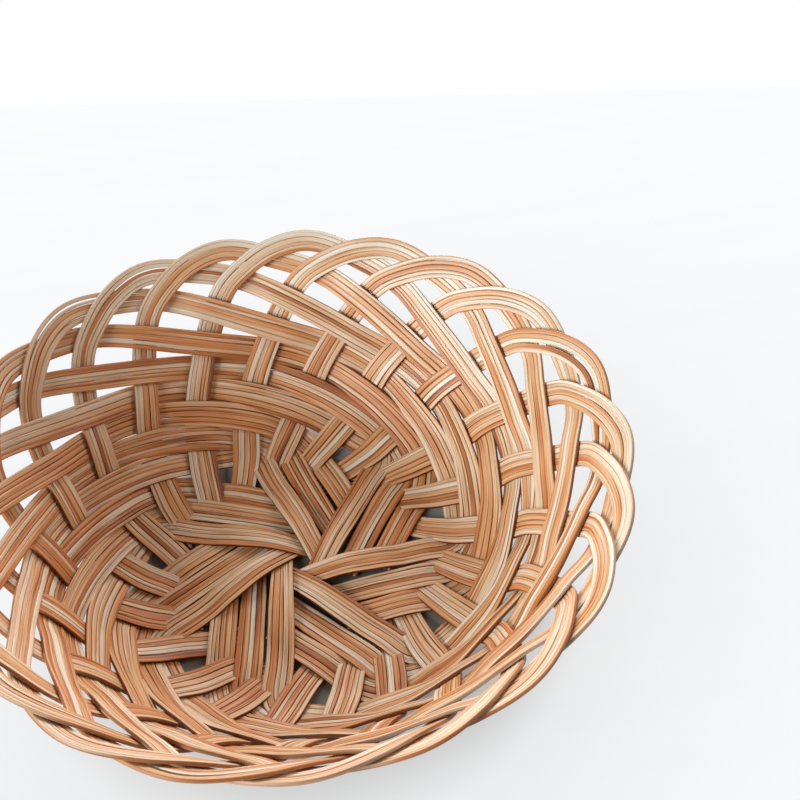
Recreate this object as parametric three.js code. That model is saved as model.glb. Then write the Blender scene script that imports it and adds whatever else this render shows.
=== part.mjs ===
import * as THREE from 'three';

// Shallow round cane basket, woven from flat strands that each run the whole way: from a tail under
// the base up the wall as a steep leg, over the rim as a loop, down the wall again as a long shallow
// leg, and across the base to the middle, where seven bundles of three lie on each other like an iris.
// Steep and shallow legs cross two over and two under. Millimetres, +Z up, origin under the base.

const BUNDLES = 7;
const PER_BUNDLE = 3;
const LANE_W = 9.6;
const CORNER_W = 8.5;
const WALL_W = 9.9;
const LOOP_W = 8.5;
const STRAND_T = 1.3;
const CLEARANCE = 0.3;
const SIDE_GAP = 1.1;
const DIP_GAP = 2.2;
const HOLE_R = 3.2;
const DEPTH = 71.2;
const CORNER_RUN = 25;
const CORNER_RISE = 18;
const WALL_ANGLE = THREE.MathUtils.degToRad(53);
const TUCK = 0.8;
const DIP_RUN = 5;
const IRIS_RUN = 16;
const STATION = 9.2;

// Distance between neighbouring strands round the rim and round the flat floor, in strand pitches.
const RIM_SPREAD = 3.5;
const FLOOR_SPREAD = 1.54;

// A strand moves off the mid surface by this share of a layer where it crosses another on the wall.
const WALL_SHARE = 0.7;

const COUNT = BUNDLES * PER_BUNDLE;
const PITCH = LANE_W + SIDE_GAP;
const RIM_R = COUNT * PITCH * RIM_SPREAD / (2 * Math.PI);
const FLOOR_R = COUNT * PITCH * FLOOR_SPREAD / (2 * Math.PI);
const STEP = 2 * Math.PI / COUNT;
const BETA = 2 * Math.PI / BUNDLES;
const LAYER = STRAND_T + CLEARANCE;
const FLAT_LIFT = LAYER / 2;
const WALL_LIFT = WALL_SHARE * LAYER;
const MID_Z = FLAT_LIFT + STRAND_T / 2;

// Route of a strand: steps clockwise from the foot of its rim loop, and reach from floor edge to rim.
const STEEP_LEG = [
  [-2.6, -0.17], [-2.01, -0.036], [-1.64, 0.107], [-1.243, 0.273],
  [-0.834, 0.485], [-0.63, 0.57], [-0.309, 0.701], [0, 0.823],
];
const RIM_LOOP = [[0.274, 0.88], [0.653, 0.938]];
const LOOP_TOP = 1.138;
const SHALLOW_LEG = [
  [1.744, 0.906], [2.363, 0.828], [3.529, 0.656], [4.638, 0.557],
  [5.565, 0.468], [6.557, 0.358], [7.548, 0.239], [8.55, 0.0625],
];
const BASE_STRAIGHT = 31;
const FOOT_ANGLE = THREE.MathUtils.degToRad(236.7);
const FIRST_TURN = THREE.MathUtils.degToRad(15);

// Crossings from the rim down: on which side the steep leg passes, +1 inside the bowl.
const STEEP_SIDE = [1, 1, -1, -1, 1, 1, -1, -1, 1, 1, -1];
const FIRST_FLAT = 10;

// Mid surface of the weave: flat floor, rounded corner, flaring wall.
const WALL = new THREE.CubicBezierCurve(
  new THREE.Vector2(FLOOR_R, 0),
  new THREE.Vector2(FLOOR_R + CORNER_RUN, 0),
  new THREE.Vector2(RIM_R - (DEPTH - CORNER_RISE) / Math.tan(WALL_ANGLE), CORNER_RISE),
  new THREE.Vector2(RIM_R, DEPTH),
).getPoints(240);

function surface(x, y) {
  const r = Math.hypot(x, y);
  if (r <= FLOOR_R) {
    return { point: new THREE.Vector3(x, y, 0), normal: new THREE.Vector3(0, 0, 1) };
  }
  const found = WALL.findIndex((p) => p.x >= r);
  const k = found < 1 ? WALL.length - 1 : found;
  const slope = (WALL[k].y - WALL[k - 1].y) / (WALL[k].x - WALL[k - 1].x);
  const point = new THREE.Vector3(x, y, WALL[k].y + slope * (r - WALL[k].x));
  return { point, normal: new THREE.Vector3(-slope * x / r, -slope * y / r, 1).normalize() };
}

// Lane of strand i in the base, in its bundle's own frame: side by side along +Y, each ending under
// the first strand of the next bundle, and dipping below it from there.
function baseLane(i) {
  const x = HOLE_R + LANE_W / 2 + i * PITCH;
  const farEdge = Math.cos(BETA) * (x + LANE_W / 2);
  return {
    x,
    end: (farEdge - HOLE_R - LANE_W + TUCK) / Math.sin(BETA),
    dip: (farEdge - HOLE_R + DIP_GAP) / Math.sin(BETA),
  };
}

const OUTER_LANE = baseLane(PER_BUNDLE - 1);
const TAIL_R = Math.hypot(OUTER_LANE.x + LANE_W / 2, OUTER_LANE.dip + DIP_RUN);

// Width of a strand at radius r: its splints lie spread in the base and on the wall, and close together
// round the corner between them and in the rim loop.
function strandWidth(r) {
  const { smoothstep, lerp } = THREE.MathUtils;
  const wall = RIM_R - FLOOR_R - CORNER_RUN;
  const inner = lerp(LANE_W, CORNER_W, smoothstep(r, TAIL_R - LANE_W, TAIL_R));
  const outer = lerp(inner, WALL_W, smoothstep(r, RIM_R - wall / 1.25, RIM_R - wall / 2));
  return lerp(outer, LOOP_W, smoothstep(r, RIM_R - wall / 2.5, RIM_R - wall / 5));
}

// Centre line of strand i on the mid surface, from tail to middle, with the length along it.
function route(i) {
  const place = ([steps, reach]) => {
    const r = FLOOR_R + reach * (RIM_R - FLOOR_R);
    const angle = FOOT_ANGLE - (i + steps) * STEP;
    return new THREE.Vector3(r * Math.cos(angle), r * Math.sin(angle), 0);
  };
  const lane = baseLane(i);
  const topReach = 1 - LOOP_W / 2 * Math.cos(WALL_ANGLE) / (RIM_R - FLOOR_R);
  const knots = [
    ...STEEP_LEG.map(place),
    ...RIM_LOOP.map(place),
    place([LOOP_TOP, topReach]),
    ...SHALLOW_LEG.map(place),
    new THREE.Vector3(lane.x, BASE_STRAIGHT, 0),
    new THREE.Vector3(lane.x, (BASE_STRAIGHT + lane.end) / 2, 0),
    new THREE.Vector3(lane.x, lane.end, 0),
  ];
  const plan = new THREE.CatmullRomCurve3(knots, false, 'centripetal').getPoints(30 * (knots.length - 1));
  const points = plan.map((p) => surface(p.x, p.y).point);
  const along = [0];
  for (let k = 1; k < points.length; k++) {
    along.push(along[k - 1] + points[k].distanceTo(points[k - 1]));
  }
  const top = 30 * (STEEP_LEG.length + RIM_LOOP.length);
  const start = along[plan.findIndex((p) => p.length() > TAIL_R + CORNER_W / 4)];
  return { i, lane, plan, points, along, top, start, length: along.at(-1) };
}

const ROUTES = Array.from({ length: PER_BUNDLE }, (_, i) => route(i));

// Point, normal, run and side direction of a strand at length u.
function spot(path, u) {
  const found = path.along.findIndex((a) => a >= u);
  const k = found < 0 ? path.along.length - 1 : Math.max(found, 1);
  const t = (u - path.along[k - 1]) / (path.along[k] - path.along[k - 1]);
  const p = path.plan[k - 1].clone().lerp(path.plan[k], t);
  const { point, normal } = surface(p.x, p.y);
  const ahead = path.points[Math.min(k + 2, path.points.length - 1)];
  const run = ahead.clone().sub(path.points[Math.max(k - 3, 0)]);
  run.addScaledVector(normal, -run.dot(normal)).normalize();
  return { point, normal, run, side: normal.clone().cross(run), half: strandWidth(p.length()) / 2 };
}

const UP = new THREE.Vector3(0, 0, 1);

// Length over which a strand, followed one way from a crossing, still lies on or under the other one.
function coveredRun(path, u, otherPoints, way) {
  const near = otherPoints.map((q) => (strandWidth(Math.hypot(q.x, q.y)) + CLEARANCE) / 2);
  for (let d = 0; ; d += CLEARANCE) {
    const f = spot(path, u + way * d);
    const clear = [-1, -0.5, 0, 0.5, 1].every((share) => {
      const p = f.point.clone().addScaledVector(f.side, share * f.half);
      return otherPoints.every((q, n) => q.distanceToSquared(p) > near[n] * near[n]);
    });
    if (clear) {
      return d;
    }
  }
}

// Crossing n of the shallow leg of strand i, with the steep leg of the strand n places further round.
function crossing(i, n) {
  const shallow = ROUTES[i];
  const j = (i + n) % PER_BUNDLE;
  const steep = ROUTES[j];
  const turn = -Math.floor((i + n) / PER_BUNDLE) * BETA;
  const turned = steep.plan.slice(0, steep.top + 1).map((p) => p.clone().applyAxisAngle(UP, turn));
  const near = { a: shallow.top, b: 0, gap: Infinity };
  for (let a = shallow.top; a < shallow.plan.length - 1; a++) {
    for (let b = 0; b < turned.length - 1; b++) {
      const gap = shallow.plan[a].distanceToSquared(turned[b]);
      if (gap < near.gap) {
        Object.assign(near, { a, b, gap });
      }
    }
  }
  const { a, b } = near;
  const p = shallow.plan[a + 1].clone().sub(shallow.plan[a]);
  const q = turned[b + 1].clone().sub(turned[b]);
  const w = turned[b].clone().sub(shallow.plan[a]);
  const det = p.x * q.y - p.y * q.x;
  const u = THREE.MathUtils.lerp(shallow.along[a], shallow.along[a + 1], (w.x * q.y - w.y * q.x) / det);
  const v = THREE.MathUtils.lerp(steep.along[b], steep.along[b + 1], (w.x * p.y - w.y * p.x) / det);
  const onSteep = steep.points.slice(0, steep.top + 1).map((x) => x.clone().applyAxisAngle(UP, turn));
  const onShallow = shallow.points.slice(shallow.top).map((x) => x.clone().applyAxisAngle(UP, -turn));
  const holdU = [u - coveredRun(shallow, u, onSteep, -1), u + coveredRun(shallow, u, onSteep, 1)];
  const holdV = [v - coveredRun(steep, v, onShallow, -1), v + coveredRun(steep, v, onShallow, 1)];
  return { n, i, j, u, v, turn, holdU, holdV };
}

const CROSSINGS = ROUTES.flatMap((path) => STEEP_SIDE.map((_, k) => crossing(path.i, k + 1)));

// Heights of a strand off the mid surface along its length. A shallow leg lies level along each
// crossing. A steep leg swings through the crossings on the wall, and lies level round the base.
function liftKnots(path) {
  const knots = [];
  const add = (u, c, lift, swings) => knots.push({ u, c, lift, swings, slope: 0, tilt: 0 });
  for (const c of CROSSINGS) {
    const onWall = c.n < FIRST_FLAT;
    const lift = STEEP_SIDE[c.n - 1] * (onWall ? WALL_LIFT : FLAT_LIFT);
    if (c.j === path.i) {
      (onWall ? [c.v] : c.holdV).forEach((v) => add(v, c, lift, onWall));
    }
    if (c.i === path.i) {
      c.holdU.forEach((u) => add(u, c, -lift, false));
    }
  }
  knots.sort((a, b) => a.u - b.u);
  knots.forEach((k, n) => {
    if (k.swings) {
      k.slope = (knots[n + 1].lift - knots[n - 1].lift) / (knots[n + 1].u - knots[n - 1].u);
    }
  });
  return knots;
}

const KNOTS = ROUTES.map(liftKnots);

// A shallow leg tilts across its width with the slope of the steep leg that it crosses on the wall.
for (const c of CROSSINGS.filter((x) => x.n < FIRST_FLAT)) {
  const steep = KNOTS[c.j].find((k) => k.c === c && k.swings);
  const low = spot(ROUTES[c.i], c.u);
  const high = spot(ROUTES[c.j], c.v);
  const run = high.run.applyAxisAngle(UP, c.turn);
  const side = high.side.applyAxisAngle(UP, c.turn);
  const tilt = steep.slope / low.side.dot(run);
  steep.tilt = tilt * low.side.dot(side);
  KNOTS[c.i].filter((k) => k.c === c && !k.swings).forEach((k) => {
    k.tilt = tilt;
  });
}

function swing(knots, u) {
  if (u <= knots[0].u) {
    return { lift: knots[0].lift, tilt: 0 };
  }
  const n = knots.findIndex((k) => k.u >= u);
  if (n < 0) {
    return { lift: knots.at(-1).lift, tilt: 0 };
  }
  const a = knots[n - 1];
  const b = knots[n];
  const gap = b.u - a.u;
  const t = (u - a.u) / gap;
  const rise = t * t * (3 - 2 * t);
  const bend = gap * t * (1 - t) * ((1 - t) * a.slope - t * b.slope);
  return { lift: a.lift + rise * (b.lift - a.lift) + bend, tilt: a.tilt + rise * (b.tilt - a.tilt) };
}

// Layers above the lowest one in the base. First strands climb round the middle like iris blades.
const IRIS_FOOT = Math.atan2(baseLane(0).end, HOLE_R);
const IRIS_CLEAR = (HOLE_R + LANE_W - Math.cos(BETA) * HOLE_R) / Math.sin(BETA);
const IRIS_TOP = Math.atan2(IRIS_CLEAR, HOLE_R);
const IRIS_SHARE = 1 + CLEARANCE / LAYER;

function baseLayer(lane, x, y) {
  if (lane.x > HOLE_R + LANE_W) {
    return THREE.MathUtils.smoothstep(y, lane.dip, lane.dip + DIP_RUN);
  }
  const turn = THREE.MathUtils.clamp(Math.atan2(y, x), IRIS_FOOT, IRIS_TOP) - IRIS_FOOT;
  const settle = THREE.MathUtils.smoothstep(y, IRIS_CLEAR, IRIS_CLEAR + IRIS_RUN);
  return THREE.MathUtils.lerp(IRIS_SHARE * turn / BETA, 1, settle);
}

// Lengths at which the strip is bent: every knot, and evenly spaced stations between them.
function stations(path) {
  const knots = KNOTS[path.i];
  const inBase = knots.at(-1).u;
  const foot = path.along[30 * (STEEP_LEG.length - 1)];
  const past = path.along[path.top + 60];
  const marks = [path.start, ...knots.map((k) => k.u).filter((u) => u > path.start)];
  const list = [];
  marks.forEach((u, n) => {
    list.push(u);
    const next = n + 1 < marks.length ? marks[n + 1] : path.length;
    const onLoop = u > foot && u < past;
    const step = STATION / (u < inBase ? (onLoop ? 2 : 1) : 3);
    const parts = Math.ceil((next - u) / step);
    for (let p = 1; p < parts; p++) {
      list.push(u + (next - u) * p / parts);
    }
  });
  list.push(path.length);
  return { list, inBase };
}

// A flat strip bent along its route.
function strip(path) {
  const { list, inBase } = stations(path);
  const geometry = new THREE.BoxGeometry(1, 2, STRAND_T, list.length - 1, 1, 1);
  const frames = list.map((u) => ({ u, ...spot(path, u), ...swing(KNOTS[path.i], u) }));
  const position = geometry.attributes.position;
  for (let k = 0; k < position.count; k++) {
    const f = frames[Math.round((position.getX(k) + 0.5) * (list.length - 1))];
    const across = position.getY(k) * f.half;
    const p = f.point.clone().addScaledVector(f.side, across);
    const inLane = f.u > inBase;
    const lift = inLane ? LAYER * baseLayer(path.lane, p.x, p.y) - FLAT_LIFT : f.lift + f.tilt * across;
    p.addScaledVector(f.normal, lift + position.getZ(k));
    position.setXYZ(k, p.x, p.y, Math.max(p.z + MID_Z, 0));
  }
  geometry.computeVertexNormals();
  return geometry;
}

const STRIPS = ROUTES.map(strip);

const basket = new THREE.Group();
for (let b = 0; b < BUNDLES; b++) {
  const bundle = new THREE.Group();
  bundle.rotation.z = FIRST_TURN - b * BETA;
  STRIPS.forEach((geometry, i) => {
    const hue = 0.075 + 0.008 * ((b + i) % 3);
    const cane = new THREE.Color().setHSL(hue, 0.42, 0.5 + 0.04 * ((2 * b + i) % 3));
    const material = new THREE.MeshStandardMaterial({ color: cane, roughness: 0.6, metalness: 0 });
    const mesh = new THREE.Mesh(geometry, material);
    mesh.name = `strand_${b + 1}_${i + 1}`;
    bundle.add(mesh);
  });
  basket.add(bundle);
}

export default basket;
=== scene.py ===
import math

import bpy
import numpy as np
from mathutils import Matrix, Vector


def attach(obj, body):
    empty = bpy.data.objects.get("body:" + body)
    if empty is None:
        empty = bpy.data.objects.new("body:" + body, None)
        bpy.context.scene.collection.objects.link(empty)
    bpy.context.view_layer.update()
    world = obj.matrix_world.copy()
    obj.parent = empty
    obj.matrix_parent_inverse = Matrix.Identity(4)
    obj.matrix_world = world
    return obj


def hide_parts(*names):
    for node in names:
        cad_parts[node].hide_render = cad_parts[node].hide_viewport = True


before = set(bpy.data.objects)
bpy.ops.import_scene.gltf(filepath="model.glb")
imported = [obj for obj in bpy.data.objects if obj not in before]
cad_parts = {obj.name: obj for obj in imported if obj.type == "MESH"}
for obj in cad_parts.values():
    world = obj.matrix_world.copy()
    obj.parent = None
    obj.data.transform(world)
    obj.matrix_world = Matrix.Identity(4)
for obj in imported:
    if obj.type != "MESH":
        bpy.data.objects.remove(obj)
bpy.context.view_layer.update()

MM = 0.001

# Sizes of the weave, in millimetres, with the values of the part's source.
BUNDLES = 7
PER_BUNDLE = 3
LANE_W = 9.6
CORNER_W = 8.5
WALL_W = 9.9
LOOP_W = 8.5
STRAND_T = 1.3
CLEARANCE = 0.3
SIDE_GAP = 1.1
DIP_GAP = 2.2
HOLE_R = 3.2
DEPTH = 71.2
CORNER_RUN = 25
CORNER_RISE = 18
WALL_ANGLE = math.radians(53)
TUCK = 0.8
DIP_RUN = 5
IRIS_RUN = 16
RIM_SPREAD = 3.5
FLOOR_SPREAD = 1.54
WALL_SHARE = 0.7

COUNT = BUNDLES * PER_BUNDLE
PITCH = LANE_W + SIDE_GAP
RIM_R = COUNT * PITCH * RIM_SPREAD / (2 * math.pi)
FLOOR_R = COUNT * PITCH * FLOOR_SPREAD / (2 * math.pi)
STEP = 2 * math.pi / COUNT
BETA = 2 * math.pi / BUNDLES
LAYER = STRAND_T + CLEARANCE
FLAT_LIFT = LAYER / 2
WALL_LIFT = WALL_SHARE * LAYER
MID_Z = FLAT_LIFT + STRAND_T / 2

# Knots of a strand's route: places round the basket, counted in strands, and shares of the way from the
# floor's edge to the rim. The first four are the scene's own, and the rest are the source's.
STEEP_LEG = [
    (-3.15, -0.33), (-2.47, -0.17), (-1.9, -0.036), (-1.57, 0.107),
    (-1.243, 0.273), (-0.834, 0.485), (-0.63, 0.57), (-0.309, 0.701), (0, 0.823),
]
RIM_LOOP = [(0.274, 0.88), (0.653, 0.938)]
LOOP_TOP = 1.138
SHALLOW_LEG = [
    (1.744, 0.906), (2.363, 0.828), (3.529, 0.656), (4.638, 0.557),
    (5.565, 0.468), (6.557, 0.358), (7.548, 0.239),
]
FOOT_ANGLE = math.radians(236.7)
FIRST_TURN = math.radians(15)

# The scene's own run onto the base: how far from the axis each lane turns straight, how far its outer end
# leans towards the axis, and the shares of its length at which it has knots. Then how many strands round
# the tail is moved, and the share of the way to the rim below which that is so.
LANE_R = (63, 61, 61)
LANE_LEAN = (3.5, 2, 1.5)
LANE_KNOTS = (0, 0.2, 0.6, 1)
TAIL_SHIFT = (0, 0.11, 0)
TAIL_SHARE = 0.2

# Crossings from the rim down: on which side the steep leg passes, +1 inside the bowl, and the number of
# the first one that lies flat.
STEEP_SIDE = [1, 1, -1, -1, 1, 1, -1, -1, 1, 1, -1]
FIRST_FLAT = 10

# Shares of the wall below the rim between which a strand widens, and then narrows to its loop.
WIDEN = (0.8, 0.5)
NARROW = (0.4, 0.2)

# Samples of the wall's curve and of a route between two knots, and how far along a route its direction is
# taken each way.
WALL_SAMPLES = 241
SAMPLES = 30
RUN_REACH = 1.2

# Width of a strand's row of splints by distance from the axis, and the distances at which tails end.
ROW_WIDTHS = [
    (6, 8.6), (26, 10.3), (52, 10.9), (66, 12.2), (80, 11.7), (95, 10.5), (105, 10.4), (117, 9.3),
]
TAIL_ENDS = (36, 47)

# A splint: its thickness, a quarter of its section, flat with a round shoulder, how much wider it is than
# its share of the row, the length of its rounded ends, their least size, and the spacing of stations.
SPLINT_T = 1.35
SHOULDER = [(1.0, 0.0), (0.97, 0.62), (0.88, 0.92), (0.5, 1.0)]
OVERLAP = 1.03
END_RUN = 0.8
END_SHARE = 0.2
STATION = 2.2

# Share of the solids' dips that the lanes keep, the arch of a first lane, with where it starts, tops and
# ends, and how far a crossing's hold may reach towards the next crossing.
PRESSED = 0.4
ARCH = (1.8, 3.6)
ARCH_START = -4
ARCH_TOP = 20
ARCH_FOOT = 58
HOLD_SHARE = 0.4

# Uneven cane: amount, shortest and longest wave of a strand's drift, and of its splints' place, width,
# height and thickness.
DRIFT_WAVE = (0.5, 60, 160)
PLACE_WAVE = (0.1, 40, 130)
WIDTH_WAVE = (0.05, 30, 120)
HEIGHT_WAVE = (0.06, 30, 110)
THICK_WAVE = (0.06, 40, 150)

# Splints in a strand and their relative widths, how a loop opens and fans, over what length, and how
# ragged a strand's two ends are.
SPLINT_COUNTS = [5, 5, 6]
SPLINT_SHARES = (0.6, 1.4)
LOOP_OPENING = (-1.2, 1.3)
LOOP_FAN = (0, 0.3)
LOOP_RUN = 28
TAIL_RAGGED = 1.5
LANE_RAGGED = 1.2

# Straw, rust and dark splints: middle tone and spread, and how many of each there are.
TONES = [(0.63, 0.08), (0.38, 0.07), (0.2, 0.05)]
TONE_SHARES = [0.69, 0.27, 0.04]

# How far the grain is moved on from splint to splint at most, and from a splint's top to its underside.
GRAIN_SPAN = 50
GRAIN_UNDER = 4


def smooth(x, a, b):
    """Smooth step from 0 at a to 1 at b."""
    t = np.clip((np.asarray(x, float) - a) / (b - a), 0, 1)
    return t * t * (3 - 2 * t)


def lerp(a, b, t):
    return a + (b - a) * t


def wall_curve():
    """Mid surface of the wall as radius and height, from the floor's edge to the rim."""
    p = np.array([
        (FLOOR_R, 0),
        (FLOOR_R + CORNER_RUN, 0),
        (RIM_R - (DEPTH - CORNER_RISE) / math.tan(WALL_ANGLE), CORNER_RISE),
        (RIM_R, DEPTH),
    ])
    t = np.linspace(0, 1, WALL_SAMPLES)[:, None]
    return (1 - t) ** 3 * p[0] + 3 * (1 - t) ** 2 * t * p[1] + 3 * (1 - t) * t * t * p[2] + t ** 3 * p[3]


WALL = wall_curve()
WALL_SLOPE = np.gradient(WALL[:, 1], WALL[:, 0])


def surface(xy):
    """Points and normals of the mid surface at places in plan."""
    r = np.hypot(xy[:, 0], xy[:, 1])
    slope = np.where(r <= FLOOR_R, 0, np.interp(r, WALL[:, 0], WALL_SLOPE))
    z = np.interp(r, WALL[:, 0], WALL[:, 1]) + slope * np.maximum(r - RIM_R, 0)
    points = np.column_stack([xy, z])
    safe = np.maximum(r, 1e-6)
    normals = np.column_stack([-slope * xy[:, 0] / safe, -slope * xy[:, 1] / safe, np.ones(len(r))])
    return points, normals / np.linalg.norm(normals, axis=1)[:, None]


def base_lane(i):
    """x of lane i, the y at which it ends, and the y below which it lies under the next bundle."""
    x = HOLE_R + LANE_W / 2 + i * PITCH
    far_edge = math.cos(BETA) * (x + LANE_W / 2)
    end = (far_edge - HOLE_R - LANE_W + TUCK) / math.sin(BETA)
    dip = (far_edge - HOLE_R + DIP_GAP) / math.sin(BETA)
    return x, end, dip


OUTER_X, _, OUTER_DIP = base_lane(PER_BUNDLE - 1)
TAIL_R = math.hypot(OUTER_X + LANE_W / 2, OUTER_DIP + DIP_RUN)


def strand_width(r):
    """Width of a solid strand at distance r from the axis."""
    wall = RIM_R - FLOOR_R - CORNER_RUN
    inner = lerp(LANE_W, CORNER_W, smooth(r, TAIL_R - LANE_W, TAIL_R))
    wide = smooth(r, RIM_R - WIDEN[0] * wall, RIM_R - WIDEN[1] * wall)
    loop = smooth(r, RIM_R - NARROW[0] * wall, RIM_R - NARROW[1] * wall)
    return lerp(lerp(inner, WALL_W, wide), LOOP_W, loop)


def catmull(knots):
    """Centripetal Catmull-Rom curve through the knots."""
    p = np.vstack([2 * knots[0] - knots[1], knots, 2 * knots[-1] - knots[-2]])
    out = []
    for k in range(1, len(p) - 2):
        a, b, c, d = p[k - 1], p[k], p[k + 1], p[k + 2]
        d0, d1, d2 = (np.linalg.norm(v) ** 0.5 for v in (b - a, c - b, d - c))
        m1 = ((b - a) / d0 - (c - a) / (d0 + d1) + (c - b) / d1) * d1
        m2 = ((c - b) / d1 - (d - b) / (d1 + d2) + (d - c) / d2) * d1
        t = (np.arange(SAMPLES) / SAMPLES)[:, None]
        out.append(b + m1 * t + (3 * (c - b) - 2 * m1 - m2) * t ** 2 + (2 * (b - c) + m1 + m2) * t ** 3)
    out.append(p[-2:-1])
    return np.vstack(out)


class Path:
    """Route of strand i of a bundle: tail, steep leg, loop, shallow leg and lane."""

    def __init__(self, i):
        def place(steps, reach):
            r = FLOOR_R + reach * (RIM_R - FLOOR_R)
            angle = FOOT_ANGLE - (i + steps) * STEP
            return r * math.cos(angle), r * math.sin(angle)

        self.i = i
        self.lane = base_lane(i)
        x, end, _ = self.lane
        top_reach = 1 - LOOP_W / 2 * math.cos(WALL_ANGLE) / (RIM_R - FLOOR_R)
        steep = [(a + TAIL_SHIFT[i] * (b < TAIL_SHARE), b) for a, b in STEEP_LEG]
        knots = [place(*k) for k in steep + RIM_LOOP + [(LOOP_TOP, top_reach)] + SHALLOW_LEG]
        foot_x = x - LANE_LEAN[i]
        foot_y = math.sqrt(LANE_R[i] ** 2 - foot_x ** 2)
        knots += [(lerp(foot_x, x, t), lerp(foot_y, end, t)) for t in LANE_KNOTS]
        self.plan = catmull(np.array(knots, float))
        self.points, _ = surface(self.plan)
        steps = np.linalg.norm(np.diff(self.points, axis=0), axis=1)
        self.along = np.concatenate([[0], np.cumsum(steps)])
        self.top = SAMPLES * (len(STEEP_LEG) + len(RIM_LOOP))
        self.radius = np.hypot(self.plan[:, 0], self.plan[:, 1])
        self.length = self.along[-1]

    def tail(self, r):
        """Length at which the steep leg's tail reaches radius r."""
        return self.along[np.argmax(self.radius > r)]

    def place(self, u):
        return np.column_stack([np.interp(u, self.along, self.plan[:, k]) for k in (0, 1)])

    def frames(self, u):
        """Point, normal, run, side and width at lengths u."""
        u = np.atleast_1d(np.asarray(u, float))
        xy = self.place(u)
        point, normal = surface(xy)
        ahead, _ = surface(self.place(np.minimum(u + RUN_REACH, self.length)))
        behind, _ = surface(self.place(np.maximum(u - RUN_REACH, 0)))
        run = ahead - behind
        run -= normal * (run * normal).sum(1)[:, None]
        run /= np.linalg.norm(run, axis=1)[:, None]
        return point, normal, run, np.cross(normal, run), strand_width(np.hypot(xy[:, 0], xy[:, 1]))


PATHS = [Path(i) for i in range(PER_BUNDLE)]


def turned(p, angle):
    """Points turned round the axis."""
    c, s = math.cos(angle), math.sin(angle)
    q = np.array(p, float)
    q[..., 0], q[..., 1] = c * p[..., 0] - s * p[..., 1], s * p[..., 0] + c * p[..., 1]
    return q


def covered_run(path, u, others, way):
    """Length from u, forwards or back, over which the strand through the other points covers this one."""
    near = (strand_width(np.hypot(others[:, 0], others[:, 1])) + CLEARANCE) / 2
    d = 0.0
    while True:
        point, _, _, side, width = path.frames(u + way * d)
        edge = point + side * (np.linspace(-0.5, 0.5, 5)[:, None] * width[0])
        gap = np.linalg.norm(edge[:, None, :] - others[None, :, :], axis=2)
        if (gap > near).all():
            return d
        d += CLEARANCE


class Crossing:
    """Where the shallow leg of strand i meets the steep leg of the strand n places further round."""

    def __init__(self, i, n):
        self.i, self.n, self.j = i, n, (i + n) % PER_BUNDLE
        shallow, steep = PATHS[i], PATHS[self.j]
        self.turn = -((i + n) // PER_BUNDLE) * BETA
        low = shallow.plan[shallow.top:-1]
        high = turned(steep.plan[:steep.top + 1], self.turn)
        gap = np.linalg.norm(low[:, None, :] - high[None, :-1, :], axis=2)
        a, b = np.unravel_index(np.argmin(gap), gap.shape)
        a += shallow.top
        p = shallow.plan[a + 1] - shallow.plan[a]
        q = high[b + 1] - high[b]
        w = high[b] - shallow.plan[a]
        det = p[0] * q[1] - p[1] * q[0]
        self.u = lerp(shallow.along[a], shallow.along[a + 1], (w[0] * q[1] - w[1] * q[0]) / det)
        self.v = lerp(steep.along[b], steep.along[b + 1], (w[0] * p[1] - w[1] * p[0]) / det)
        on_steep = turned(steep.points[:steep.top + 1], self.turn)
        on_shallow = turned(shallow.points[shallow.top:], -self.turn)
        self.hold_u = [self.u + way * covered_run(shallow, self.u, on_steep, way) for way in (-1, 1)]
        self.hold_v = [self.v + way * covered_run(steep, self.v, on_shallow, way) for way in (-1, 1)]


CROSSINGS = [Crossing(i, n + 1) for i in range(PER_BUNDLE) for n in range(len(STEEP_SIDE))]


def lift_knots(i):
    """Where along its length strand i is held off the mid surface, and how far."""
    holds = []
    for c in CROSSINGS:
        on_wall = c.n < FIRST_FLAT
        lift = STEEP_SIDE[c.n - 1] * (WALL_LIFT if on_wall else FLAT_LIFT)
        if c.j == i:
            holds.append((c.v, [c.v] if on_wall else c.hold_v, c, lift, on_wall))
        if c.i == i:
            holds.append((c.u, c.hold_u, c, -lift, False))
    holds.sort(key=lambda h: h[0])
    knots = []
    for k, (middle, spans, c, lift, swings) in enumerate(holds):
        before = middle - HOLD_SHARE * (middle - holds[k - 1][0]) if k else -math.inf
        after = middle + HOLD_SHARE * (holds[k + 1][0] - middle) if k + 1 < len(holds) else math.inf
        for u in spans:
            u = min(max(u, before), after)
            knots.append({"u": u, "c": c, "lift": lift, "swings": swings, "slope": 0, "tilt": 0})
    for n, k in enumerate(knots):
        if k["swings"]:
            a, b = knots[n - 1], knots[n + 1]
            k["slope"] = (b["lift"] - a["lift"]) / (b["u"] - a["u"])
    return knots


KNOTS = [lift_knots(i) for i in range(PER_BUNDLE)]

# On the wall both strands of a crossing tilt, so that they lie flat on each other.
for c in CROSSINGS:
    if c.n < FIRST_FLAT:
        steep = next(k for k in KNOTS[c.j] if k["c"] is c and k["swings"])
        _, _, _, low_side, _ = PATHS[c.i].frames(c.u)
        _, _, run, side, _ = PATHS[c.j].frames(c.v)
        tilt = steep["slope"] / float(low_side[0] @ turned(run[0], c.turn))
        steep["tilt"] = tilt * float(low_side[0] @ turned(side[0], c.turn))
        for k in KNOTS[c.i]:
            if k["c"] is c and not k["swings"]:
                k["tilt"] = tilt


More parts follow.
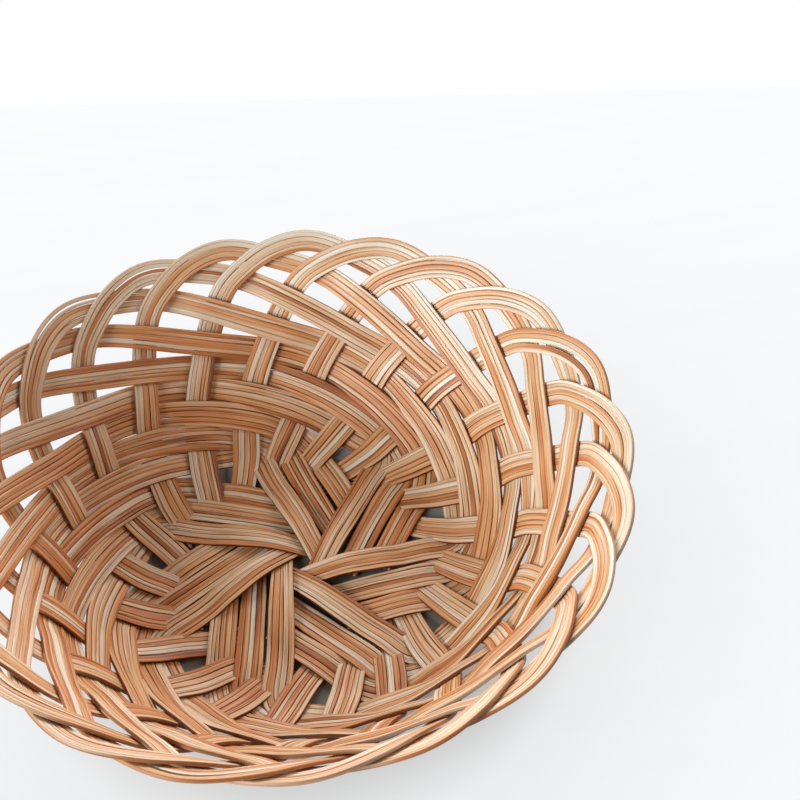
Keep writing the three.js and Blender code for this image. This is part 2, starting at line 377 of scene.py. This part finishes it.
def swing(knots, u):
    """Height off the mid surface and tilt across the strand at lengths u."""
    at = np.array([k["u"] for k in knots])
    lift, tilt, slope = (np.array([k[n] for k in knots], float) for n in ("lift", "tilt", "slope"))
    b = np.clip(np.searchsorted(at, u), 1, len(at) - 1)
    a = b - 1
    gap = np.maximum(at[b] - at[a], 1e-9)
    t = np.clip((u - at[a]) / gap, 0, 1)
    rise = t * t * (3 - 2 * t)
    bend = gap * t * (1 - t) * ((1 - t) * slope[a] - t * slope[b])
    inside = (u > at[0]) & (u < at[-1])
    height = lift[a] + rise * (lift[b] - lift[a]) + bend
    return height, np.where(inside, tilt[a] + rise * (tilt[b] - tilt[a]), 0)


IRIS_FOOT = math.atan2(base_lane(0)[1], HOLE_R)
IRIS_CLEAR = (HOLE_R + LANE_W - math.cos(BETA) * HOLE_R) / math.sin(BETA)
IRIS_TOP = math.atan2(IRIS_CLEAR, HOLE_R)
IRIS_SHARE = 1 + CLEARANCE / LAYER


def base_layer(lane, x, y):
    """Layer of the base at a place in a lane: 0 below, 1 above."""
    if lane[0] > HOLE_R + LANE_W:
        return smooth(y, lane[2], lane[2] + DIP_RUN)
    turn = np.clip(np.arctan2(y, x), IRIS_FOOT, IRIS_TOP) - IRIS_FOOT
    return lerp(IRIS_SHARE * turn / BETA, 1, smooth(y, IRIS_CLEAR, IRIS_CLEAR + IRIS_RUN))


# Section of a splint as a closed outline, from -1 to 1 both ways.
HALF = SHOULDER + [(-x, z) for x, z in SHOULDER[:0:-1]] + [(-1.0, 0.0)]
PROFILE = np.array(HALF + [(x, -z) for x, z in HALF[-2:0:-1]])
SECTION = len(PROFILE)


def eased(p):
    """Positions along a strand with small kinks smoothed out and both ends kept."""
    reach = 5
    spread = 1.5
    weight = np.exp(-0.5 * (np.arange(-reach, reach + 1) / spread) ** 2)
    weight /= weight.sum()
    head = 2 * p[:1] - p[reach:0:-1]
    tail = 2 * p[-1:] - p[-2:-reach - 2:-1]
    long = np.concatenate([head, p, tail])
    return sum(w * long[k:k + len(p)] for k, w in enumerate(weight))


def wave(rng, u, amount, shortest, longest):
    """Smooth wandering along a length, mostly within the amount either way."""
    waves = 4
    usual_peak = 2.4
    total = np.zeros(len(u))
    for _ in range(waves):
        total += np.sin(2 * math.pi * (u / rng.uniform(shortest, longest) + rng.uniform()))
    return amount * (total / usual_peak)


def row_width(xy):
    radii, widths = zip(*ROW_WIDTHS)
    return np.interp(np.hypot(xy[:, 0], xy[:, 1]), radii, widths)


def splint(path, rng, centre, width, offset, arch, first, last):
    """Vertices (stations, section, 3) of one splint, in millimetres, with its length and girth."""
    count = int((last - first) / STATION)
    u = np.linspace(first, last, count)
    point, normal, _, side, _ = path.frames(u)
    row = row_width(point)
    lift, tilt = swing(KNOTS[path.i], u)
    middle = centre * row + offset(u) + wave(rng, u, *PLACE_WAVE)
    half = width * row / 2 * (OVERLAP + wave(rng, u, *WIDTH_WAVE))
    high = wave(rng, u, *HEIGHT_WAVE)
    thick = SPLINT_T / 2 * (1 + wave(rng, u, *THICK_WAVE))
    ends = np.sqrt(np.clip(np.minimum(u - first, last - u) / END_RUN, END_SHARE, 1))
    across = middle[:, None] + (half * ends)[:, None] * PROFILE[:, 0]
    p = point[:, None, :] + side[:, None, :] * across[:, :, None]
    in_lane = (u > KNOTS[path.i][-1]["u"])[:, None]
    layer = 1 + PRESSED * (base_layer(path.lane, p[..., 0], p[..., 1]) - 1)
    level = np.where(in_lane, LAYER * layer - FLAT_LIFT, lift[:, None] + tilt[:, None] * across)
    if path.i == 0:
        y = p[..., 1]
        bow = smooth(y, ARCH_START, ARCH_TOP) * (1 - smooth(y, ARCH_TOP, ARCH_FOOT))
        level = level + in_lane * arch * bow
    level = level + high[:, None] + (thick * ends)[:, None] * PROFILE[:, 1]
    p = eased(p + normal[:, None, :] * level[:, :, None])
    p[..., 2] = np.maximum(p[..., 2] + MID_Z, 0)
    girth = across - middle[:, None] + GRAIN_UNDER * (PROFILE[:, 1] < 0)
    return p, np.broadcast_to(u[:, None], across.shape), girth


def splint_faces(base, rows):
    """Faces of a splint whose vertices start at base: quads round its stations, then its two ends."""
    grid = base + np.arange(rows * SECTION).reshape(rows, SECTION)
    a, c = grid[:-1], grid[1:]
    quads = np.stack([a, np.roll(a, -1, 1), np.roll(c, -1, 1), c], axis=2).reshape(-1, 4)
    return quads.tolist() + [grid[0][::-1].tolist(), grid[-1].tolist()]


def strand(b, i):
    """One strand as a row of splints lying side by side, as one mesh."""
    rng = np.random.RandomState(31 * b + 7 * i + 5)
    path = PATHS[i]
    count = rng.choice(SPLINT_COUNTS)
    shares = rng.uniform(*SPLINT_SHARES, count)
    shares /= shares.sum()
    centres = np.cumsum(shares) - shares / 2 - 0.5
    loop = path.along[path.top]
    split = rng.randint(1, count)
    opening = max(0, rng.uniform(*LOOP_OPENING))
    fan = rng.uniform(*LOOP_FAN)
    tail_r = rng.uniform(*TAIL_ENDS)
    arch = rng.uniform(*ARCH)
    drift_seed = rng.randint(1000)
    verts, faces, fibre, tones, edges, skins = [], [], [], [], [], []
    base = 0
    for j in range(count):
        def offset(u, j=j):
            bump = np.exp(-((u - loop) / LOOP_RUN) ** 2)
            spread = bump * (opening * (0.5 if j >= split else -0.5) + fan * centres[j] * 2)
            return spread + wave(np.random.RandomState(drift_seed), u, *DRIFT_WAVE)

        first = path.tail(tail_r) + rng.uniform(-TAIL_RAGGED, TAIL_RAGGED)
        last = path.length - rng.uniform(0, LANE_RAGGED)
        p, u, girth = splint(path, rng, centres[j], shares[j], offset, arch, first, last)
        p = turned(p, FIRST_TURN - b * BETA) * MM
        rows = len(p)
        grain = rng.uniform(0, GRAIN_SPAN)
        tone = np.clip(rng.normal(*TONES[rng.choice(len(TONES), p=TONE_SHARES)]), 0, 1)
        verts.append(p.reshape(-1, 3))
        fibre.append(np.column_stack([u.ravel() * MM, girth.ravel() * MM, np.full(u.size, grain)]))
        tones.append(np.full(u.size, tone))
        # Attributes: skin marks a strand's outer sides, which carry its rind and painted shade; edge
        # marks the seams between splints, where painted shade goes.
        outward = (j == count - 1) * PROFILE[:, 0] - (j == 0) * PROFILE[:, 0]
        skin = np.maximum(outward, 0)
        edges.append(np.tile(np.where(skin > 0, 0, np.abs(PROFILE[:, 0])), rows))
        skins.append(np.tile(skin, rows))
        faces += splint_faces(base, rows)
        base += rows * SECTION
    mesh = bpy.data.meshes.new(f"cane_strand_{b + 1}_{i + 1}")
    mesh.from_pydata(np.vstack(verts).tolist(), [], faces)
    mesh.polygons.foreach_set("use_smooth", np.ones(len(mesh.polygons), bool))
    mesh.attributes.new("fibre", "FLOAT_VECTOR", "POINT")
    mesh.attributes["fibre"].data.foreach_set("vector", np.vstack(fibre).ravel())
    for name, values in (("tone", tones), ("edge", edges), ("skin", skins)):
        mesh.attributes.new(name, "FLOAT", "POINT")
        mesh.attributes[name].data.foreach_set("value", np.concatenate(values))
    mesh.update()
    obj = bpy.data.objects.new(mesh.name, mesh)
    bpy.context.scene.collection.objects.link(obj)
    return obj


class Nodes:
    """Small helper that adds and links shader nodes."""

    def __init__(self, tree):
        self.tree = tree
        tree.nodes.clear()

    def put(self, socket, value):
        if isinstance(value, bpy.types.NodeSocket):
            self.tree.links.new(value, socket)
        else:
            socket.default_value = value

    def add(self, kind, values=None, **settings):
        node = self.tree.nodes.new(kind)
        for name, value in settings.items():
            setattr(node, name, value)
        for name, value in (values or {}).items():
            self.put(node.inputs[name], value)
        return node

    def attribute(self, name, output="Fac"):
        return self.add("ShaderNodeAttribute", attribute_name=name).outputs[output]

    def math(self, operation, a, b):
        return self.add("ShaderNodeMath", {0: a, 1: b}, operation=operation).outputs[0]

    def weighted(self, parts):
        """Sum of values, each times its weight."""
        total, *others = [self.math("MULTIPLY", value, weight) for value, weight in parts]
        for value in others:
            total = self.math("ADD", total, value)
        return total

    def span(self, value, low, high, start=0, end=1):
        """Low at start, high at end, and held beyond them."""
        node = self.add("ShaderNodeMapRange", {
            "Value": value,
            "From Min": start,
            "From Max": end,
            "To Min": low,
            "To Max": high,
        })
        return node.outputs["Result"]

    def ramp(self, value, stops):
        node = self.add("ShaderNodeValToRGB", {"Fac": value})
        ramp = node.color_ramp
        while len(ramp.elements) < len(stops):
            ramp.elements.new(0.5)
        for element, (place, colour) in zip(ramp.elements, stops):
            element.position = place
            element.color = (*colour, 1)
        return node.outputs["Color"]

    def fade(self, value, stops):
        """Ramp of greys."""
        return self.ramp(value, [(place, (grey, grey, grey)) for place, grey in stops])

    def streaks(self, vector, scale, detail):
        """Noise with a scale of its own along each axis."""
        scaled = self.add("ShaderNodeVectorMath", {0: vector, 1: scale}, operation="MULTIPLY")
        noise = {"Vector": scaled.outputs[0], "Scale": 1, "Detail": detail}
        return self.add("ShaderNodeTexNoise", noise).outputs[0]

    def seen(self):
        """One for camera, glossy and transmission rays, nothing for the rest."""
        path = self.add("ShaderNodeLightPath")
        rays = [path.outputs[f"Is {kind} Ray"] for kind in ("Camera", "Glossy", "Transmission")]
        return self.math("MAXIMUM", self.math("MAXIMUM", rays[0], rays[1]), rays[2])

    def mix(self, factor, a, b):
        """Colour a, or b where the factor is one."""
        return self.add("ShaderNodeMix", {0: factor, 6: a, 7: b}, data_type="RGBA").outputs[2]

    def finish(self, kind, surface):
        out = self.add(kind)
        self.tree.links.new(surface.outputs[0], out.inputs[0])


# Colours of the cane by level, of the rind on a strand's edges, of dark fibres, and of the painted shade
# in seams between splints and on strands' sides.
CANE_COLOURS = [
    (0.10, (0.19, 0.052, 0.016)),
    (0.30, (0.50, 0.168, 0.049)),
    (0.46, (0.62, 0.315, 0.143)),
    (0.62, (0.685, 0.50, 0.35)),
    (0.84, (0.765, 0.68, 0.56)),
]
RIND = (0.46, 0.15, 0.04, 1)
DARK_FIBRE = (0.17, 0.055, 0.02, 1)
SEAM_SHADE = (0.09, 0.024, 0.006, 1)

# Weights in the level of a splint's tone, its broad and fine streaks and its patches, what is taken off
# their sum, and the painted light that is added at the rim.
LEVEL_WEIGHTS = (0.72, 0.65, 0.35, 0.45)
LEVEL_SHIFT = 0.63
PAINTED_RIM_LIGHT = 0.1

# Scale of the streaks along a splint, across it and from splint to splint, and their detail.
BROAD = (12, 1100, 1)
FINE = (30, 2900, 1)
PATCHY = (26, 160, 1)
STREAK_DETAIL = 2

# Heights in metres between which painted light makes the cane paler towards the rim, and between which
# the painted shade in seams and on strands' sides fades and polish grows.
PAINTED_RIM_LIGHT_RISE = (0.035, 0.07)
SHADE_AND_POLISH_RISE = (0.005, 0.06)


def cane_material():
    material = bpy.data.materials.new("split_cane")
    material.use_nodes = True
    n = Nodes(material.node_tree)
    fibre = n.attribute("fibre", "Vector")
    skin = n.attribute("skin")
    broad = n.streaks(fibre, BROAD, STREAK_DETAIL)
    fine = n.streaks(fibre, FINE, STREAK_DETAIL)
    patches = n.streaks(fibre, PATCHY, STREAK_DETAIL)
    place = n.add("ShaderNodeTexCoord").outputs["Object"]
    rise = n.add("ShaderNodeSeparateXYZ", {0: place}).outputs["Z"]

    # Straw to rust by splint and streak, and paler towards the rim by painted light.
    level = n.weighted(zip((n.attribute("tone"), broad, fine, patches), LEVEL_WEIGHTS))
    level = n.math("SUBTRACT", level, LEVEL_SHIFT)
    # Painted light: the cane is paler towards the rim.
    level = n.math("ADD", level, n.span(rise, 0, PAINTED_RIM_LIGHT, *PAINTED_RIM_LIGHT_RISE))
    colour = n.ramp(level, CANE_COLOURS)

    # Rust rind left in patches along a strand's two edges.
    rind = n.fade(skin, [(0.45, 0), (0.85, 1)])
    rind_left = n.fade(patches, [(0.44, 0), (0.6, 0.9)])
    colour = n.mix(n.math("MULTIPLY", rind, rind_left), colour, RIND)

    # Dark fibres, and painted shade in the seams between splints and on the sides of strands. All are
    # fainter towards the rim, as the painted shade is deepest low in the bowl.
    # Painted shade: strongest low in the bowl and weaker towards the rim.
    painted_low_shade = n.span(rise, 1, 0.35, *SHADE_AND_POLISH_RISE)
    lines = n.math("MULTIPLY", n.fade(fine, [(0.33, 0.75), (0.39, 0)]), painted_low_shade)
    colour = n.mix(lines, colour, DARK_FIBRE)
    # Painted shade in the seams between splints, broken in patches.
    border = n.fade(n.attribute("edge"), [(0.73, 0), (0.88, 1)])
    broken = n.fade(patches, [(0.42, 1), (0.6, 0.25)])
    # Painted shade on the outer sides of each strand, where it meets its neighbours.
    side = n.fade(skin, [(0.84, 0), (0.96, 0.95)])
    gaps = n.math("MAXIMUM", n.math("MULTIPLY", border, broken), side)
    seam_shade = n.math("MULTIPLY", gaps, painted_low_shade)
    colour = n.mix(seam_shade, colour, SEAM_SHADE)

    # Dull where it is dark, and more polished towards the rim.
    dark = n.math("MAXIMUM", lines, seam_shade)
    polish = n.span(rise, 0.1, 0.4, *SHADE_AND_POLISH_RISE)
    height = n.weighted([(fine, 0.7), (broad, 0.6)])
    bump = n.add("ShaderNodeBump", {"Strength": 0.5, "Distance": 0.0003, "Height": height})
    shader = n.add("ShaderNodeBsdfPrincipled", {
        "Base Color": colour,
        "Roughness": n.span(broad, 0.38, 0.6),
        "Normal": bump.outputs["Normal"],
        "Specular IOR Level": n.span(dark, 0.28, 0.03),
        "Coat Weight": n.math("MULTIPLY", polish, n.math("SUBTRACT", 1, dark)),
        "Coat Roughness": 0.38,
    })
    n.finish("ShaderNodeOutputMaterial", shader)
    return material


CANE = cane_material()
for b in range(BUNDLES):
    for i in range(PER_BUNDLE):
        piece = strand(b, i)
        piece.data.materials.append(CANE)
        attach(piece, "root")
        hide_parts(f"strand_{b + 1}_{i + 1}")

# Pale table whose far edge runs across the top of the view, in metres: two points of that edge, and how
# far the table goes on to the sides and the front.
FAR_LEFT = (-0.1367, 0.3698)
FAR_RIGHT = (0.284, 0.2933)
TABLE_SIDE = 2.5
TABLE_DEPTH = 3


def table_material():
    """Painted contact shadow darkens it under the basket, and it is white away from it to the rays that
    see it.
    """
    material = bpy.data.materials.new("white_table")
    material.use_nodes = True
    n = Nodes(material.node_tree)
    place = n.add("ShaderNodeTexCoord").outputs["Object"]
    grain = n.streaks(place, (6, 60, 1), 3)
    spread = n.add("ShaderNodeVectorMath", {0: place}, operation="LENGTH").outputs["Value"]
    shader = n.add("ShaderNodeBsdfPrincipled", {
        # Painted contact shadow: the floor's colour is darker under the basket.
        "Base Color": n.ramp(spread, [(0.055, (0.16, 0.13, 0.105)), (0.085, (0.5, 0.48, 0.46))]),
        "Roughness": 0.8,
        "Specular IOR Level": 0.1,
    })
    glow = n.ramp(grain, [(0.3, (0.955, 0.975, 1)), (0.7, (0.975, 0.99, 1))])
    bright = n.add("ShaderNodeEmission", {"Color": glow, "Strength": 1})
    clear = n.fade(spread, [(0.066, 0), (0.115, 0.75), (0.2, 0.9), (0.4, 0.97)])
    share = n.math("MULTIPLY", n.seen(), clear)
    either = n.add("ShaderNodeMixShader", {0: share, 1: shader.outputs[0], 2: bright.outputs[0]})
    n.finish("ShaderNodeOutputMaterial", either)
    return material


def table():
    a, b = Vector((*FAR_LEFT, 0)), Vector((*FAR_RIGHT, 0))
    run = (b - a).normalized()
    front = Vector((run.y, -run.x, 0)) * TABLE_DEPTH
    left = a - run * TABLE_SIDE
    right = b + run * TABLE_SIDE
    corners = [tuple(p) for p in (left, right, right + front, left + front)]
    mesh = bpy.data.meshes.new("table_top")
    mesh.from_pydata(corners, [], [(3, 2, 1, 0)])
    mesh.materials.append(table_material())
    obj = bpy.data.objects.new("table_top", mesh)
    bpy.context.scene.collection.objects.link(obj)
    return obj


table()


def surroundings():
    """Surroundings that are seen as white and light the object softly."""
    world = bpy.data.worlds.new("studio")
    world.use_nodes = True
    n = Nodes(world.node_tree)
    soft = n.add("ShaderNodeBackground", {"Color": (1, 0.93, 0.84, 1), "Strength": 0.12})
    white = n.add("ShaderNodeBackground", {"Color": (1, 1, 1, 1), "Strength": 1})
    either = n.add("ShaderNodeMixShader", {0: n.seen(), 1: soft.outputs[0], 2: white.outputs[0]})
    n.finish("ShaderNodeOutputWorld", either)
    return world


bpy.context.scene.world = surroundings()

LAMP_AIM = (0, 0, 0.03)


def area_light(name, place, size, power, colour):
    light = bpy.data.lights.new(name, "AREA")
    light.shape = "DISK"
    light.size = size
    light.energy = power
    light.color = colour
    obj = bpy.data.objects.new(name, light)
    obj.location = place
    aim = Vector(LAMP_AIM) - Vector(place)
    obj.rotation_euler = aim.to_track_quat("-Z", "Y").to_euler()
    bpy.context.scene.collection.objects.link(obj)


area_light("window", (-1.28, -0.55, 0.68), 1.0, 40, (0.83, 0.94, 1))
area_light("sky", (0.3, 1.5, 0.62), 1.0, 37, (0.96, 0.985, 1))
area_light("fill", (1.3, 0.3, 0.85), 0.6, 8, (1, 0.94, 0.87))

# Camera at the photograph's viewpoint, found from the rim's loops: its place in rim radii from the rim's
# middle, the directions to the right and ahead, the focal length and the image's width in pixels, and the
# sensor's width in millimetres.
EYE = (0, -2.24254, 2.59801)
RIGHT = (0.98276, -0.18270, -0.02828)
AHEAD = (0.10349, 0.67043, -0.73472)
FOCAL = 1181
IMAGE = 800
SENSOR = 36

rim_middle = Vector((0, 0, (MID_Z + DEPTH) * MM))
eye = Vector(EYE) * RIM_R * MM + rim_middle
right = Vector(RIGHT).normalized()
ahead = Vector(AHEAD).normalized()
up = right.cross(ahead)
camera_data = bpy.data.cameras.new("camera")
camera_data.sensor_width = SENSOR
camera_data.lens = FOCAL / IMAGE * SENSOR
camera_data.clip_start = 0.01
camera = bpy.data.objects.new("camera", camera_data)
camera.matrix_world = Matrix((
    (right.x, up.x, -ahead.x, eye.x),
    (right.y, up.y, -ahead.y, eye.y),
    (right.z, up.z, -ahead.z, eye.z),
    (0, 0, 0, 1),
))
bpy.context.scene.collection.objects.link(camera)
bpy.context.scene.camera = camera
bpy.context.scene.view_settings.view_transform = "Standard"
